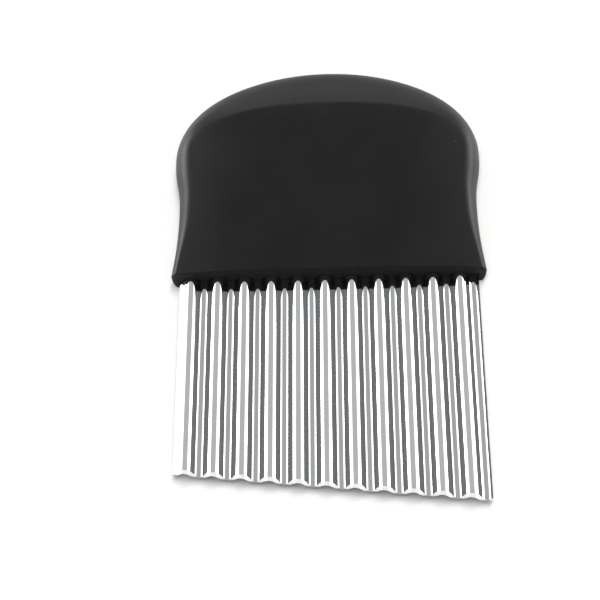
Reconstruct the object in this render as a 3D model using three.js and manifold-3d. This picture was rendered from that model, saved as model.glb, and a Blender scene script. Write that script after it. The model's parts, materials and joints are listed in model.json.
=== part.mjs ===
// Crinkle cutter: a corrugated steel blade held between the two shells of a hollow plastic handle.
// Millimetres. The tool lies on its back: X runs across the blade, Y from the cutting edge up to the
// palm end of the handle, and Z out of the front face. Z = 0 is the flat back of the handle.
import * as THREE from 'three';
import { mergeVertices } from 'three/addons/utils/BufferGeometryUtils.js';
import Module from 'manifold-3d';

// Blade: one corrugated sheet. Its lengths are measured down from the mouth of the handle.
const SHEET = 0.8;
const WAVE_PITCH = 7.9;
const BEND_RADIUS = 2; // to the middle of the sheet
const BEND_ANGLE = THREE.MathUtils.degToRad(50); // slope of the flat flanks
const BLADE_MARGIN = 2.5; // between each side of the blade and the side of the mouth
const FIRST_RIDGE = 3.4; // from the left edge of the blade to its first ridge
const BLADE_LENGTH_LEFT = 60;
const BLADE_LENGTH_RIGHT = 69;
const BEVEL_LENGTH = 0.8; // ground bevel on the front, along the cutting edge
const EDGE_THICKNESS = 0.12; // what the bevel leaves of the sheet

// Tang: the narrower end of the blade inside the handle, measured up from the mouth.
const SHOULDER_DEPTH = 3.6; // how far the full width of the blade goes in
const TANG_STEP = 7; // how much narrower than the blade the tang is, at each side
const TANG_DEPTH = 50;

// Handle outline, seen from the front. Heights are measured up from the mouth.
const HANDLE_LENGTH = 71;
const MOUTH_WIDTH = 93;
const MOUTH_CORNER = 0.9; // radius of the two lower corners
const MOUTH_FLARE = THREE.MathUtils.degToRad(8.5); // lean of the sides just above the mouth
const WAIST_WIDTH = 89.6;
const WAIST_HEIGHT = 23;
const PALM_WIDTH = 93; // widest part of the handle
const PALM_HEIGHT = 40.1;
const SIDE_EASE = 8.5; // length of the curve handles that ease one width into the next

// Handle in depth, measured up from the flat back.
const PARTING_HEIGHT = 4.3; // middle of the blade and seam of the shells
const LIP_HEIGHT = 9.7; // front face at the mouth
const CREASE_HEIGHT = 16; // front face at the crease below the palm end
const FACE_ROLL = 0.18; // how much the face rounds over towards the crease, as a share of its rise
const FACE_FALL_MOUTH = 2; // how far the face falls away at its two sides, at the mouth
const FACE_FALL_PALM = 5; // and at the crease
const BACK_ROLL = 3.4; // width of the rounded edge of the back
const BACK_ROLL_MOUTH = 1.2; // and at the two corners of the mouth

// Front face: the panel inside the rounded rim of the front shell.
const CREASE_LINE = 53.8; // height of the crease above the mouth, on the middle line
const CREASE_SHOULDER = 9; // how steeply the crease turns down at its ends
const CREASE_FLAT = 27; // how far out the crease stays level
const FACE_MARGIN_MOUTH = 2; // width of the rounded rim at the mouth
const FACE_MARGIN_WAIST = 3.9;
const FACE_MARGIN_PALM = 4.9;
const RIM_ANGLE = THREE.MathUtils.degToRad(65); // under a quarter turn, so that the crease stays a crease

// Moulding and fits.
const WALL = 2.2;
const CLEARANCE = 0.3;
const SEAM = 0.2;
const TONGUE_WIDTH = 1; // rim of the front shell that reaches into the rear shell
const TONGUE_DEPTH = 1.2;
const RIB_THICKNESS = 2; // ribs that clamp the tang behind the screws
const RIB_LINE = 40;
const RIB_MARGIN = 2; // how much shorter than the tang's width the ribs are, at each end

// Fasteners: three screws from the back, into posts that pass through the tang.
const SCREW_SPACING = 24;
const SCREW_LINE = 22; // height of the screws above the mouth
const SCREW_DIAMETER = 3;
const SCREW_LENGTH = 6.5;
const THREAD_PITCH = 1.3;
const THREAD_DEPTH = 0.35;
const HEAD_DIAMETER = 5.2;
const HEAD_HEIGHT = 1.2;
const DRIVE_WIDTH = 0.8; // cross recess of the head
const DRIVE_SPAN = 3;
const DRIVE_DEPTH = 0.7;
const POST_DIAMETER = 8;
const PLUG_THICKNESS = 0.8;
const PLUG_CHAMFER = 0.2;
const PLUG_SINK = 0.1; // the plugs lie just under the back, so that the tool rests on its shell

// Fineness of the round stretches.
const BEND_STEPS = 4;
const CORNER_STEPS = 3;
const SIDE_STEPS = 5;
const DOME_STEPS = 14;
const MOUTH_STEPS = 6;
const RIM_STEPS = 6;
const FACE_STEPS = 4;
const ROUND_STEPS = 16;

const steel = new THREE.MeshStandardMaterial({ color: 0xc9cbce, roughness: 0.2, metalness: 1 });
const platedSteel = new THREE.MeshStandardMaterial({ color: 0xa9adb1, roughness: 0.35, metalness: 1 });
const blackPlastic = new THREE.MeshStandardMaterial({ color: 0x202123, roughness: 0.45, metalness: 0 });

const wasm = await Module();
wasm.setup();

const bladeHalf = MOUTH_WIDTH / 2 - BLADE_MARGIN;
const tangHalf = bladeHalf - TANG_STEP;
const flankRun = WAVE_PITCH / 2 - 2 * BEND_RADIUS * Math.sin(BEND_ANGLE);
const bendDrop = BEND_RADIUS * (1 - Math.cos(BEND_ANGLE));
const waveHalf = bendDrop + (flankRun * Math.tan(BEND_ANGLE)) / 2;
const slotHalf = waveHalf + SHEET / 2 + CLEARANCE;
const recessDepth = PLUG_SINK + PLUG_THICKNESS + CLEARANCE + HEAD_HEIGHT + SEAM;

// Turns a closed geometry into a solid for cutting and joining.
function solid(geometry) {
  geometry.deleteAttribute('normal');
  geometry.deleteAttribute('uv');
  const merged = mergeVertices(geometry, 1e-5);
  const vertProperties = new Float32Array(merged.attributes.position.array);
  const triVerts = new Uint32Array(merged.index.array);
  return new wasm.Manifold(new wasm.Mesh({ numProp: 3, vertProperties, triVerts }));
}

// Turns a solid back into a named mesh.
function meshOf(name, body, material) {
  const { vertProperties, triVerts } = body.getMesh();
  const geometry = new THREE.BufferGeometry();
  geometry.setAttribute('position', new THREE.BufferAttribute(vertProperties, 3));
  geometry.setIndex(new THREE.BufferAttribute(triVerts, 1));
  geometry.computeVertexNormals();
  const mesh = new THREE.Mesh(geometry, material);
  mesh.name = name;
  return mesh;
}

function geometryOf(points, triangles) {
  const geometry = new THREE.BufferGeometry();
  geometry.setAttribute('position', new THREE.Float32BufferAttribute(points.flatMap((p) => [p.x, p.y, p.z]), 3));
  geometry.setIndex(triangles.flat());
  return geometry;
}

// A box between two corners, given as [x, y, z].
function box(low, high) {
  const size = high.map((value, axis) => value - low[axis]);
  const geometry = new THREE.BoxGeometry(...size);
  geometry.translate(...low.map((value, axis) => value + size[axis] / 2));
  return solid(geometry);
}

// A round bar standing on z = low.
function bar(diameter, x, y, low, high) {
  const geometry = new THREE.CylinderGeometry(diameter / 2, diameter / 2, high - low, ROUND_STEPS);
  geometry.rotateX(Math.PI / 2);
  geometry.translate(x, y, (low + high) / 2);
  return solid(geometry);
}

// A turned piece standing on z = low, from a profile of [radius, height] that starts and ends on its axis.
function turned(profile, x, y, low) {
  const points = profile.map(([radius, height]) => new THREE.Vector2(radius, height));
  const geometry = new THREE.LatheGeometry(points, ROUND_STEPS);
  geometry.rotateX(Math.PI / 2);
  geometry.translate(x, y, low);
  return solid(geometry);
}

// A solid stacked from rings of matching points, lowest ring first, closed by a fan at each end.
function stacked(rings) {
  const count = rings[0].length;
  const points = rings.flat();
  const triangles = [];
  for (let level = 0; level + 1 < rings.length; level += 1) {
    for (let i = 0; i < count; i += 1) {
      const a = level * count + i;
      const b = level * count + ((i + 1) % count);
      triangles.push([a, b, b + count], [a, b + count, a + count]);
    }
  }
  const last = (rings.length - 1) * count;
  const low = points.push(middleOf(rings[0])) - 1;
  const high = points.push(middleOf(rings[rings.length - 1])) - 1;
  for (let i = 0; i < count; i += 1) {
    const next = (i + 1) % count;
    triangles.push([low, next, i], [high, last + i, last + next]);
  }
  return solid(geometryOf(points, triangles));
}

function middleOf(ring) {
  const sum = ring.reduce((total, point) => total.add(point), new THREE.Vector3());
  return sum.divideScalar(ring.length);
}

// Blade

// Height of the sheet's middle above the parting plane, and the lean of its surface, at one place across.
function waveAt(x) {
  const half = WAVE_PITCH / 2;
  const fromRidge = THREE.MathUtils.euclideanModulo(x + bladeHalf - FIRST_RIDGE + half, WAVE_PITCH) - half;
  const away = Math.abs(fromRidge);
  const bendRun = BEND_RADIUS * Math.sin(BEND_ANGLE);
  let lean = BEND_ANGLE;
  let height = waveHalf - bendDrop - (away - bendRun) * Math.tan(BEND_ANGLE);
  if (away < bendRun) {
    lean = Math.asin(away / BEND_RADIUS);
    height = waveHalf - BEND_RADIUS * (1 - Math.cos(lean));
  } else if (half - away < bendRun) {
    lean = Math.asin((half - away) / BEND_RADIUS);
    height = BEND_RADIUS * (1 - Math.cos(lean)) - waveHalf;
  }
  return { x, height, lean: Math.sign(fromRidge) * lean };
}

// Places across the sheet, from left to right, that follow every bend.
function waveStations(left, right) {
  const places = [left, right];
  const half = WAVE_PITCH / 2;
  const firstBend = Math.floor((left + bladeHalf - FIRST_RIDGE) / half);
  const lastBend = Math.ceil((right + bladeHalf - FIRST_RIDGE) / half);
  for (let bend = firstBend; bend <= lastBend; bend += 1) {
    for (let step = 0; step <= BEND_STEPS; step += 1) {
      const angle = BEND_ANGLE * ((2 * step) / BEND_STEPS - 1);
      places.push(bend * half + FIRST_RIDGE - bladeHalf + BEND_RADIUS * Math.sin(angle));
    }
  }
  const inside = places.filter((x) => x >= left && x <= right).sort((a, b) => a - b);
  const spaced = inside.filter((x, i) => i === 0 || x - inside[i - 1] > 1e-3);
  return spaced.map(waveAt);
}

// A point on the sheet, a distance in front of its middle (or behind it, if negative).
function sheetPoint(station, y, offset) {
  return new THREE.Vector3(
    station.x + offset * Math.sin(station.lean),
    y,
    PARTING_HEIGHT + station.height + offset * Math.cos(station.lean),
  );
}

// Where the slanted cutting edge lies at one place across.
function edgeAt(x) {
  const share = (x + bladeHalf) / (2 * bladeHalf);
  return -THREE.MathUtils.lerp(BLADE_LENGTH_LEFT, BLADE_LENGTH_RIGHT, share);
}

function bladeSheet() {
  const stations = waveStations(-bladeHalf, bladeHalf);
  const count = stations.length;
  const back = -SHEET / 2;
  const sections = [
    { front: back + EDGE_THICKNESS, reach: (x) => edgeAt(x) },
    { front: SHEET / 2, reach: (x) => edgeAt(x) + BEVEL_LENGTH },
    { front: SHEET / 2, reach: () => TANG_DEPTH },
  ];
  const points = [];
  for (const { front, reach } of sections) {
    points.push(...stations.map((station) => sheetPoint(station, reach(station.x), front)));
    points.push(...stations.map((station) => sheetPoint(station, reach(station.x), back)).reverse());
  }
  const ring = 2 * count;
  const triangles = [];
  for (let section = 0; section + 1 < sections.length; section += 1) {
    for (let i = 0; i < ring; i += 1) {
      const a = section * ring + i;
      const b = section * ring + ((i + 1) % ring);
      triangles.push([a, b, b + ring], [a, b + ring, a + ring]);
    }
  }
  const last = (sections.length - 1) * ring;
  for (let i = 0; i + 1 < count; i += 1) {
    const under = ring - 1 - i;
    triangles.push([i, under, under - 1], [i, under - 1, i + 1]);
    triangles.push([last + i, last + under - 1, last + under], [last + i, last + i + 1, last + under - 1]);
  }
  return solid(geometryOf(points, triangles));
}

function blade() {
  const low = PARTING_HEIGHT - slotHalf;
  const high = PARTING_HEIGHT + slotHalf;
  const over = 2 * bladeHalf;
  let body = bladeSheet();
  body = body.subtract(box([tangHalf, SHOULDER_DEPTH, low], [over, TANG_DEPTH + over, high]));
  body = body.subtract(box([-over, SHOULDER_DEPTH, low], [-tangHalf, TANG_DEPTH + over, high]));
  for (const x of screwPlaces()) {
    body = body.subtract(bar(POST_DIAMETER + 2 * CLEARANCE, x, SCREW_LINE, low, high));
  }
  return body;
}

// Plastic that follows the corrugation: between the front (side 1) or the back (side -1) of the sheet
// and a flat level, for a stretch up the handle.
function waveComb(side, half, level, from, to) {
  const offset = side * (SHEET / 2 + CLEARANCE);
  const reach = half + WAVE_PITCH;
  const line = waveStations(-reach, reach).map((station) => sheetPoint(station, 0, offset));
  const shape = new THREE.Shape(line.map((point) => new THREE.Vector2(point.x, point.z)));
  shape.lineTo(line[line.length - 1].x, level);
  shape.lineTo(line[0].x, level);
  const geometry = new THREE.ExtrudeGeometry(shape, { depth: to - from, bevelEnabled: false });
  geometry.rotateX(Math.PI / 2);
  geometry.translate(0, to, 0);
  const low = PARTING_HEIGHT - HANDLE_LENGTH;
  return solid(geometry).intersect(box([-half, from, low], [half, to, low + 2 * HANDLE_LENGTH]));
}

// Handle

function screwPlaces() {
  return [-SCREW_SPACING, 0, SCREW_SPACING];
}

// Joins the curves of the right half of an outline and mirrors them into a closed loop.
function loopOf(curves) {
  const half = curves.flatMap(([curve, steps]) => curve.getPoints(steps).slice(1));
  const rightSide = [curves[0][0].getPoint(0), ...half];
  const leftSide = rightSide.slice(1, -1).reverse().map((point) => new THREE.Vector2(-point.x, point.y));
  return [...rightSide, ...leftSide];
}

// The two lower stretches of a side: corner to waist, and waist to palm.
function sideCurves(start, lean, waist, palm) {
  const waistPoint = new THREE.Vector2(waist, WAIST_HEIGHT);
  const palmPoint = new THREE.Vector2(palm, PALM_HEIGHT);
  const ease = new THREE.Vector2(0, SIDE_EASE);
  const away = new THREE.Vector2(-Math.sin(lean), Math.cos(lean)).multiplyScalar(SIDE_EASE);
  const lower = new THREE.CubicBezierCurve(
    start, start.clone().add(away), waistPoint.clone().sub(ease), waistPoint,
  );
  const upper = new THREE.CubicBezierCurve(
    waistPoint, waistPoint.clone().add(ease), palmPoint.clone().sub(ease), palmPoint,
  );
  return [[lower, SIDE_STEPS], [upper, SIDE_STEPS]];
}

// Straight mouth edge and rounded lower corner of an outline.
function mouthCurves(halfWidth, bottom, radius) {
  const centre = new THREE.Vector2(halfWidth - radius, bottom + radius);
  const corner = new THREE.EllipseCurve(centre.x, centre.y, radius, radius, -Math.PI / 2, MOUTH_FLARE);
  const edge = new THREE.LineCurve(new THREE.Vector2(0, bottom), new THREE.Vector2(centre.x, bottom));
  return [[edge, MOUTH_STEPS], [corner, CORNER_STEPS]];
}

// Outline of the handle at the seam, moved in from its sides and up from its mouth.
function handleOutline(inset, mouthInset) {
  const radius = Math.max(MOUTH_CORNER - inset, SEAM);
  const mouth = mouthCurves(MOUTH_WIDTH / 2 - inset, mouthInset, radius);
  const palm = PALM_WIDTH / 2 - inset;
  const sides = sideCurves(mouth[1][0].getPoint(1), MOUTH_FLARE, WAIST_WIDTH / 2 - inset, palm);
  const rise = HANDLE_LENGTH - PALM_HEIGHT - inset;
  const dome = new THREE.EllipseCurve(0, PALM_HEIGHT, palm, rise, 0, Math.PI / 2);
  return loopOf([...mouth, ...sides, [dome, DOME_STEPS]]);
}

// Edge of the flat back, matching the outline point by point.
function backOutline() {
  const mouth = mouthCurves(MOUTH_WIDTH / 2 - BACK_ROLL_MOUTH, 0, Math.max(MOUTH_CORNER - BACK_ROLL_MOUTH, SEAM));
  const palm = PALM_WIDTH / 2 - BACK_ROLL;
  const sides = sideCurves(mouth[1][0].getPoint(1), MOUTH_FLARE, WAIST_WIDTH / 2 - BACK_ROLL, palm);
  const dome = new THREE.EllipseCurve(0, PALM_HEIGHT, palm, HANDLE_LENGTH - PALM_HEIGHT - BACK_ROLL, 0, Math.PI / 2);
  return loopOf([...mouth, ...sides, [dome, DOME_STEPS]]);
}

// Edge of the front panel, matching the outline point by point.
function faceOutline(inset, mouthInset) {
  const radius = Math.max(MOUTH_CORNER - inset - FACE_MARGIN_MOUTH / 2, SEAM);
  const mouth = mouthCurves(MOUTH_WIDTH / 2 - FACE_MARGIN_MOUTH - inset, mouthInset, radius);
  const waist = WAIST_WIDTH / 2 - FACE_MARGIN_WAIST - inset;
  const palm = PALM_WIDTH / 2 - FACE_MARGIN_PALM - inset;
  const sides = sideCurves(mouth[1][0].getPoint(1), MOUTH_FLARE, waist, palm);
  const crease = new THREE.CubicBezierCurve(
    new THREE.Vector2(palm, PALM_HEIGHT),
    new THREE.Vector2(palm, PALM_HEIGHT + CREASE_SHOULDER),
    new THREE.Vector2(CREASE_FLAT, CREASE_LINE),
    new THREE.Vector2(0, CREASE_LINE),
  );
  return loopOf([...mouth, ...sides, [crease, DOME_STEPS]]);
}

// Height of the front face above the back, at one place across and one height above the mouth.
function faceHeight(x, y) {
  const share = THREE.MathUtils.clamp(y / CREASE_LINE, 0, 1);
  const half = THREE.MathUtils.lerp(MOUTH_WIDTH, PALM_WIDTH, share) / 2;
  const fall = THREE.MathUtils.lerp(FACE_FALL_MOUTH, FACE_FALL_PALM, share) * (x / half) ** 4;
  const rise = share + FACE_ROLL * (share ** 3 - share ** 6);
  return THREE.MathUtils.lerp(LIP_HEIGHT, CREASE_HEIGHT, rise) - fall;
}

// Rings of a rounded rim that rises from an outline to the edge of a panel.
function rimRings(outline, edge, base, heightAt, angle) {
  const rings = [];
  for (let step = 0; step <= RIM_STEPS; step += 1) {
    const turn = (angle * step) / RIM_STEPS;
    const inward = (1 - Math.cos(turn)) / (1 - Math.cos(angle));
    const upward = Math.sin(turn) / Math.sin(angle);
    rings.push(outline.map((point, i) => {
      const flat = point.clone().lerp(edge[i], inward);
      return new THREE.Vector3(flat.x, flat.y, THREE.MathUtils.lerp(base, heightAt(edge[i]), upward));
    }));
  }
  return rings;
}

// Rings that fill the front panel from its edge towards its middle.
function panelRings(edge, heightAt) {
  const centre = new THREE.Vector2(0, CREASE_LINE / 2);
  const rings = [];
  for (let step = 1; step < FACE_STEPS; step += 1) {
    rings.push(edge.map((point) => {
      const flat = point.clone().lerp(centre, step / FACE_STEPS);
      return new THREE.Vector3(flat.x, flat.y, heightAt(flat));
    }));
  }
  return rings;
}

// The front half of the handle as a full body, inset for the hollow of the shell.
function frontBody(inset, base, skirt) {
  const outline = handleOutline(inset, inset);
  const edge = faceOutline(inset, inset);
  const heightAt = (point) => faceHeight(point.x, point.y) - inset;
  const foot = outline.map((point) => new THREE.Vector3(point.x, point.y, base - skirt));
  const rim = rimRings(outline, edge, base, heightAt, RIM_ANGLE);
  const rings = [...rim, ...panelRings(edge, heightAt)];
  return stacked(skirt > 0 ? [foot, ...rings] : rings);
}

// A straight-sided body between two levels with the outline of the handle.
function outlineBlock(inset, mouthInset, low, high) {
  const outline = handleOutline(inset, mouthInset);
  return stacked([low, high].map((z) => outline.map((point) => new THREE.Vector3(point.x, point.y, z))));
}

// The rear half of the handle as a full body: the flat back and its rounded edge.
function rearBody() {
  const outline = handleOutline(0, 0);
  const edge = backOutline();
  const rim = rimRings(outline, edge, PARTING_HEIGHT - SEAM / 2, () => 0, Math.PI / 2);
  return stacked(rim.reverse());
}

// Room for the full width of the blade at the mouth.
function bladeSlot() {
  const half = bladeHalf + CLEARANCE;
  const top = SHOULDER_DEPTH + CLEARANCE;
  return box([-half, -WALL, PARTING_HEIGHT - slotHalf], [half, top, PARTING_HEIGHT + slotHalf]);
}

// Rim of the front shell that locates the rear shell. It leaves the mouth free for the blade.
function tongue() {
  const seat = PARTING_HEIGHT + SEAM / 2;
  const inner = WALL + CLEARANCE + TONGUE_WIDTH;
  const root = outlineBlock(WALL / 2, WALL / 2, seat, seat + TONGUE_DEPTH);
  const lip = outlineBlock(WALL + CLEARANCE, WALL + CLEARANCE, seat - SEAM - TONGUE_DEPTH, seat + TONGUE_DEPTH);
  const hollow = outlineBlock(inner, inner, seat - HANDLE_LENGTH, seat + HANDLE_LENGTH);
  const mouthSpace = box(
    [-MOUTH_WIDTH, -WALL, seat - HANDLE_LENGTH],
    [MOUTH_WIDTH, SHOULDER_DEPTH + 2 * WALL, seat + HANDLE_LENGTH],
  );
  return root.add(lip).subtract(hollow).subtract(mouthSpace);
}

function frontShell() {
  const seat = PARTING_HEIGHT + SEAM / 2;
  const postFoot = PARTING_HEIGHT - SEAM / 2;
  const pilotTop = recessDepth + SCREW_LENGTH + CLEARANCE;
  const combHalf = bladeHalf + CLEARANCE;
  const combTop = faceHeight(combHalf, 0) - WALL / 2;
  const ribHalf = tangHalf - RIB_MARGIN;
  const rib = waveComb(1, ribHalf, CREASE_HEIGHT, RIB_LINE, RIB_LINE + RIB_THICKNESS);
  let body = frontBody(0, seat, 0).subtract(frontBody(WALL, seat, WALL)).subtract(bladeSlot());
  body = body.add(waveComb(1, combHalf, combTop, 0, WALL));
  body = body.add(rib.intersect(frontBody(WALL / 2, seat, WALL)));
  body = body.add(tongue());
  for (const x of screwPlaces()) {
    body = body.add(bar(POST_DIAMETER, x, SCREW_LINE, postFoot, faceHeight(x, SCREW_LINE) - WALL / 2));
    body = body.subtract(bar(SCREW_DIAMETER + 2 * CLEARANCE, x, SCREW_LINE, 0, pilotTop));
  }
  return body;
}

function rearShell() {
  const seat = PARTING_HEIGHT - SEAM / 2;
  const bossTop = seat - CLEARANCE;
  const hollow = outlineBlock(WALL, WALL, WALL, PARTING_HEIGHT + WALL);
  let body = rearBody().subtract(hollow).subtract(bladeSlot());
  body = body.add(waveComb(-1, bladeHalf + CLEARANCE, WALL / 2, 0, WALL));
  body = body.add(waveComb(-1, tangHalf - RIB_MARGIN, WALL / 2, RIB_LINE, RIB_LINE + RIB_THICKNESS));
  for (const x of screwPlaces()) {
    body = body.add(bar(POST_DIAMETER, x, SCREW_LINE, WALL / 2, bossTop));
    body = body.subtract(bar(HEAD_DIAMETER + 2 * CLEARANCE, x, SCREW_LINE, -WALL, recessDepth));
    body = body.subtract(bar(SCREW_DIAMETER + 2 * CLEARANCE, x, SCREW_LINE, 0, PARTING_HEIGHT));
  }
  return body;
}

// Fasteners

// A self-tapping screw, head down, with its thread as a row of crests.
function tangScrew(x) {
  const low = recessDepth - SEAM - HEAD_HEIGHT;
  const crest = SCREW_DIAMETER / 2;
  const core = crest - THREAD_DEPTH;
  const tip = HEAD_HEIGHT + SCREW_LENGTH;
  const profile = [[0, 0], [HEAD_DIAMETER / 2, 0], [HEAD_DIAMETER / 2, HEAD_HEIGHT], [core, HEAD_HEIGHT]];
  for (let z = HEAD_HEIGHT + THREAD_PITCH; z < tip - THREAD_PITCH; z += THREAD_PITCH) {
    profile.push([core, z - THREAD_PITCH / 4], [crest, z], [core, z + THREAD_PITCH / 4]);
  }
  profile.push([core, tip - THREAD_PITCH / 2], [0, tip]);
  let body = turned(profile, x, SCREW_LINE, low);
  const half = DRIVE_WIDTH / 2;
  const arm = DRIVE_SPAN / 2;
  const top = low + DRIVE_DEPTH;
  body = body.subtract(box([x - half, SCREW_LINE - arm, low - DRIVE_DEPTH], [x + half, SCREW_LINE + arm, top]));
  body = body.subtract(box([x - arm, SCREW_LINE - half, low - DRIVE_DEPTH], [x + arm, SCREW_LINE + half, top]));
  return body;
}

function screwPlug(x) {
  const radius = HEAD_DIAMETER / 2;
  const profile = [
    [0, 0],
    [radius - PLUG_CHAMFER, 0],
    [radius, PLUG_CHAMFER],
    [radius, PLUG_THICKNESS],
    [0, PLUG_THICKNESS],
  ];
  return turned(profile, x, SCREW_LINE, PLUG_SINK);
}

const cutter = new THREE.Group();
cutter.add(meshOf('blade', blade(), steel));
cutter.add(meshOf('handle_front_shell', frontShell(), blackPlastic));
cutter.add(meshOf('handle_rear_shell', rearShell(), blackPlastic));
const sideNames = ['left', 'middle', 'right'];
screwPlaces().forEach((x, i) => {
  cutter.add(meshOf(`tang_screw_${sideNames[i]}`, tangScrew(x), platedSteel));
  cutter.add(meshOf(`screw_plug_${sideNames[i]}`, screwPlug(x), blackPlastic));
});

// The modelling above measures from the mouth of the handle. The origin is under the middle of the tool.
cutter.position.y = (BLADE_LENGTH_RIGHT - HANDLE_LENGTH) / 2;

export default cutter;
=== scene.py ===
# %% [markdown]
# # Crinkle cutter
# A hand tool for cutting potatoes and other vegetables into wavy slices: a wide sheet of corrugated
# stainless steel in a hollow black palm handle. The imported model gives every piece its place. This
# lesson models the visible pieces once more, as a maker would shape them, and gives each one the
# surface of its real material.

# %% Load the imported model
import json
import math

import bmesh
import bpy
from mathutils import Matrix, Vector

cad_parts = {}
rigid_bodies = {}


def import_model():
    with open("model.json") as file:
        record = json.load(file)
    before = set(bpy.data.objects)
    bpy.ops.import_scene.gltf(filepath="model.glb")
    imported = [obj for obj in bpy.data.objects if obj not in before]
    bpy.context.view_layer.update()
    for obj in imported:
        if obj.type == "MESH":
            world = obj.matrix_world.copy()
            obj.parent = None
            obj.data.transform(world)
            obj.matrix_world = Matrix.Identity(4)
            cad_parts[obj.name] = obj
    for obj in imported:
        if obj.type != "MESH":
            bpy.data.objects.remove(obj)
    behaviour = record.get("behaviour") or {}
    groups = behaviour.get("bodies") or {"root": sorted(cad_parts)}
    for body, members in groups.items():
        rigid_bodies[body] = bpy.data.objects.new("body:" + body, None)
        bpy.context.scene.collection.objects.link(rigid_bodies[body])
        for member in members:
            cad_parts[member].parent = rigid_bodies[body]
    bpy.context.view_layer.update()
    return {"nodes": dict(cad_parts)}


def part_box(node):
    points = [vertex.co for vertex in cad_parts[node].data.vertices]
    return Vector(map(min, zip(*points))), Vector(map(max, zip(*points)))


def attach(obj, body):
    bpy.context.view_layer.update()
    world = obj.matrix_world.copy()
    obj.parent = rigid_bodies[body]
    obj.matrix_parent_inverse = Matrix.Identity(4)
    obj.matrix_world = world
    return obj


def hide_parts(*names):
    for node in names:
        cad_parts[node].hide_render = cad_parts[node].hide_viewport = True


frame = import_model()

MM = 0.001
blade_low, blade_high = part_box("blade")
front_low, front_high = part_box("handle_front_shell")
MOUTH = front_low.y
PALM_END = front_high.y
print("nodes:", sorted(frame["nodes"]), "mouth at y =", round(MOUTH / MM, 2), "mm")

# %% [markdown]
# ## Working habits
# Operators act on whatever is selected, so each step starts by clearing the selection. The helpers
# below keep that short: they pick vertices, edges or faces by a test on their place, add a modifier and
# apply it at once, name and clean a piece, and cut it with a block or along a plane.

# %% Helpers for selecting and finishing
MERGE = 0.002 * MM


def clear_selection():
    """Leaves edit mode and deselects every object."""
    if bpy.context.mode != "OBJECT":
        bpy.ops.object.mode_set(mode="OBJECT")
    bpy.ops.object.select_all(action="DESELECT")


def take(piece):
    """Makes one piece the only selected and active object."""
    clear_selection()
    piece.select_set(True)
    bpy.context.view_layer.objects.active = piece


def edit(piece):
    """Opens one piece in edit mode with all of its mesh selected."""
    take(piece)
    bpy.ops.object.mode_set(mode="EDIT")
    bpy.ops.mesh.select_all(action="SELECT")


def pick(piece, kind, test):
    """Selects the VERT, EDGE or FACE elements of a piece in edit mode that pass a test, and counts them."""
    bpy.ops.mesh.select_mode(type=kind)
    bpy.ops.mesh.select_all(action="DESELECT")
    mesh = bmesh.from_edit_mesh(piece.data)
    elements = {"VERT": mesh.verts, "EDGE": mesh.edges, "FACE": mesh.faces}[kind]
    chosen = [element for element in elements if test(element)]
    for element in chosen:
        element.select_set(True)
    mesh.select_flush_mode()
    bmesh.update_edit_mesh(piece.data)
    return len(chosen)


def modify(piece, kind, **settings):
    """Adds a modifier with its settings and applies it."""
    take(piece)
    modifier = piece.modifiers.new(kind.title(), kind)
    for name, value in settings.items():
        setattr(modifier, name, value)
    bpy.ops.object.modifier_apply(modifier=modifier.name)


def named(name):
    """Names the object that was just added."""
    piece = bpy.context.active_object
    piece.name = name
    piece.data.name = name
    return piece


def tidy_mesh(piece, recalculate=False):
    """Merges doubled points, drops loose ones and, where asked, turns all faces outwards."""
    edit(piece)
    bpy.ops.mesh.remove_doubles(threshold=MERGE)
    bpy.ops.mesh.dissolve_degenerate(threshold=MERGE / 2)
    bpy.ops.mesh.delete_loose()
    bpy.ops.mesh.select_all(action="SELECT")
    if recalculate:
        bpy.ops.mesh.normals_make_consistent(inside=False)
    bpy.ops.object.mode_set(mode="OBJECT")


def cut(piece, tool, operation="DIFFERENCE"):
    """Cuts a piece with a tool, or joins the two, and throws the tool away."""
    modify(piece, "BOOLEAN", object=tool, operation=operation, solver="EXACT")
    bpy.data.objects.remove(tool)


def block(name, low, high):
    """A box between two corners, as a tool for cutting."""
    clear_selection()
    bpy.ops.mesh.primitive_cube_add(size=1)
    tool = named(name)
    edit(tool)
    bpy.ops.transform.resize(value=tuple(high[i] - low[i] for i in range(3)))
    bpy.ops.transform.translate(value=tuple((high[i] + low[i]) / 2 for i in range(3)))
    bpy.ops.object.mode_set(mode="OBJECT")
    return tool


def trim(piece, place, away, fill=False):
    """Takes off all of a piece that lies beyond a plane, and closes the cut where asked."""
    edit(piece)
    bpy.ops.mesh.bisect(plane_co=place, plane_no=away, clear_outer=True, use_fill=fill, threshold=MERGE)
    bpy.ops.object.mode_set(mode="OBJECT")


def report(piece):
    """Prints the size of a finished piece."""
    size = piece.dimensions / MM
    print(f"{piece.name}: {len(piece.data.polygons)} faces, {size.x:.1f} x {size.y:.1f} x {size.z:.1f} mm")


print("helpers ready")

# %% [markdown]
# ## The corrugated sheet
# The real blade starts as a flat strip that a press folds into ridges. It can be modelled the same way:
# a flat strip is one flank, a spin of its upper edge is the bend of the ridge, an extrusion is the next
# flank, a spin the other way is the bend of the valley, and an array repeats the wave. The ridges are
# bent a little tighter than the valleys, as a press with a sharp upper tool leaves them. A bevel of
# sharp folds would be shorter, but it gives a stretched arc on folds this steep, and the stripes in the
# steel depend on the true round bend.

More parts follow.
